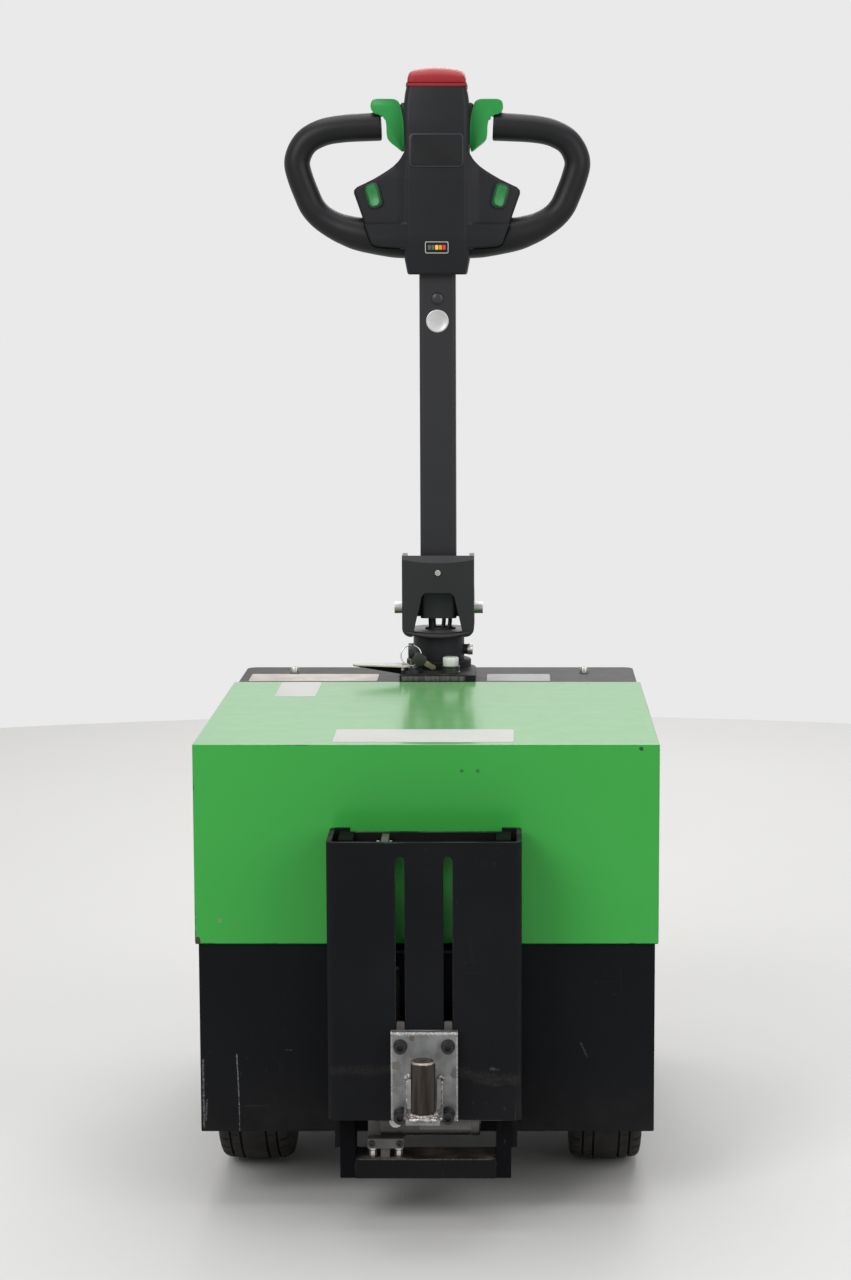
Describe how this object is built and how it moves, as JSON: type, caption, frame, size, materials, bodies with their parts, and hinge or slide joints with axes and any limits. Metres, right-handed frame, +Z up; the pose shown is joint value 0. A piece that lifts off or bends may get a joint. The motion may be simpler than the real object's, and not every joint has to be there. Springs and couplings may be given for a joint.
{
  "type": "pedestrian electric tug",
  "caption": "Walk-behind electric tug: green hood on a black chassis, drive wheels under it, steered rear wheel, tilting tiller and a lifting coupling mast with a tow pin",
  "frame": {"origin": "centre of the bounding box on the floor, tiller upright and carriage at its lowest", "axes": "+X to the right seen from the coupling side, +Y towards the operator, +Z up"},
  "size_m": [0.47, 0.7294, 1.1844],
  "materials": {
    "chassis_black": "black satin powder coat",
    "hood_green": "glossy green paint",
    "battery_case": "grey battery case over lead cells",
    "cast_housing": "raw casting",
    "motor_dark": "dark enamel",
    "rim_metal": "cast rim",
    "tyre_rubber": "dusty rubber",
    "zinc_steel": "bright zinc plate",
    "rod_chrome": "ground and plated rod",
    "plate_steel": "grey plated steel",
    "pin_steel": "raw turned steel",
    "pad_nylon": "off-white nylon",
    "black_plastic": "black plastic",
    "clear_plastic": "milky cap",
    "rubber_black": "black rubber",
    "head_plastic": "dark grey moulding",
    "grip_rubber": "smooth black grip",
    "control_green": "bright green moulding",
    "belly_red": "red moulding"
  },
  "bodies": {
    "chassis": {"chassis_front": "chassis_black", "chassis_sides": "chassis_black", "chassis_rear": "chassis_black", "rear_deck": "chassis_black", "battery_tray": "chassis_black", "battery_pack": "battery_case", "hood": "hood_green", "charge_socket": "black_plastic", "transaxle": "cast_housing", "drive_motor": "motor_dark", "mast_rails": "chassis_black", "mast_crossbars": "chassis_black", "mast_brackets": "chassis_black", "glide_pads": "pad_nylon", "lift_actuator": "zinc_steel", "steering_console": "chassis_black", "steering_crossmember": "chassis_black", "key_switch": "zinc_steel", "key_set": "black_plastic", "push_button": "clear_plastic"},
    "carriage": {"mast_carriage": "chassis_black", "tow_plate": "plate_steel", "tow_pin": "pin_steel", "tow_bolts": "zinc_steel", "lift_rod": "rod_chrome", "rod_clevis": "chassis_black"},
    "drive_wheel_left": {"drive_tyre_left": "tyre_rubber", "drive_rim_left": "rim_metal"},
    "drive_wheel_right": {"drive_tyre_right": "tyre_rubber", "drive_rim_right": "rim_metal"},
    "steering": {"steering_column": "chassis_black", "tiller_fork": "chassis_black", "tiller_pin": "zinc_steel", "stop_bumper": "rubber_black", "rear_fork": "chassis_black", "rear_axle": "zinc_steel", "tiller_cables": "rubber_black"},
    "rear_wheel": {"rear_tyre": "tyre_rubber", "rear_rim": "rim_metal"},
    "tiller": {"tiller_arm": "chassis_black", "head_shell": "head_plastic", "grips": "grip_rubber", "thumb_levers": "control_green", "belly_button": "belly_red", "rocker_switches": "control_green"}
  },
  "joints": [
    {"name": "drive_left_spin", "type": "hinge", "parent": "chassis", "child": "drive_wheel_left", "pos_m": [-0.1855, -0.03725, 0.13], "axis": [1, 0, 0], "continuous": true},
    {"name": "drive_right_spin", "type": "hinge", "parent": "chassis", "child": "drive_wheel_right", "pos_m": [0.1855, -0.03725, 0.13], "axis": [1, 0, 0], "continuous": true},
    {"name": "steering_turn", "type": "hinge", "parent": "chassis", "child": "steering", "pos_m": [0, 0.29175, 0.4], "axis": [0, 0, 1], "range_deg": [-90, 90]},
    {"name": "rear_wheel_spin", "type": "hinge", "parent": "steering", "child": "rear_wheel", "pos_m": [0, 0.29175, 0.0625], "axis": [1, 0, 0], "continuous": true},
    {"name": "tiller_tilt", "type": "hinge", "parent": "steering", "child": "tiller", "pos_m": [0, 0.29175, 0.5585], "axis": [-1, 0, 0], "range_deg": [0, 78], "stiffness_Nm_per_rad": 18, "springref_deg": -17.19, "deforming": ["tiller_cables"]},
    {"name": "mast_lift", "type": "slide", "parent": "chassis", "child": "carriage", "axis": [0, 0, 1], "range_m": [0, 0.12]}
  ]
}
